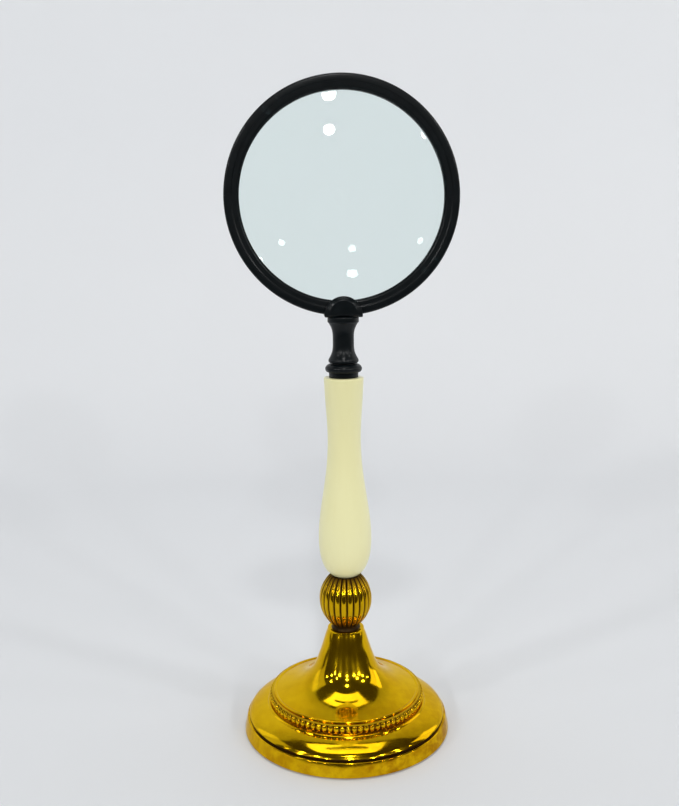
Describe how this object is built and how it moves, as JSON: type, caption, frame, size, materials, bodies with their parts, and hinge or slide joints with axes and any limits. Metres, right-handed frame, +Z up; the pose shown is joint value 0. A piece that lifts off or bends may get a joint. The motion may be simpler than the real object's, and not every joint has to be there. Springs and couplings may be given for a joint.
{
  "type": "table magnifying glass",
  "caption": "Round magnifying lens in a black ring on a cream turned handle, standing on a fluted brass pedestal with a beaded round base; the lens head swivels.",
  "frame": {"origin": "centre of the felt underside, on the table", "axes": "+Z up along the stem, the lens looks along -Y, +X to the right of a person facing the lens"},
  "size_m": [0.114, 0.108, 0.3311],
  "materials": {
    "optical_glass": "clear polished",
    "black_enamel": "satin black over brass",
    "cream_resin": "polished cream resin",
    "polished_brass": "polished and lacquered",
    "dark_brass": "dark unpolished",
    "plated_steel": "zinc plated",
    "cast_iron": "as cast",
    "fibre": "black vulcanised fibre",
    "felt": "green felt"
  },
  "bodies": {
    "stand": {"swivel_washer": "fibre", "neck_collar": "black_enamel", "handle": "cream_resin", "fluted_ball": "polished_brass", "ball_collar": "dark_brass", "tie_rod": "plated_steel", "pedestal_bell": "polished_brass", "bead_band": "polished_brass", "base_rim": "polished_brass", "base_weight": "cast_iron", "clamp_washer": "plated_steel", "spring_washer": "plated_steel", "clamp_nut": "plated_steel", "felt_pad": "felt"},
    "head": {"lens": "optical_glass", "lens_frame": "black_enamel", "retaining_ring": "black_enamel", "ring_saddle": "black_enamel", "neck_stud": "plated_steel", "neck_ferrule": "black_enamel"}
  },
  "joints": [
    {"name": "head_swivel", "type": "hinge", "parent": "stand", "child": "head", "pos_m": [0, 0, 0.1935], "axis": [0, 0, 1], "range_deg": [-90, 90]}
  ]
}
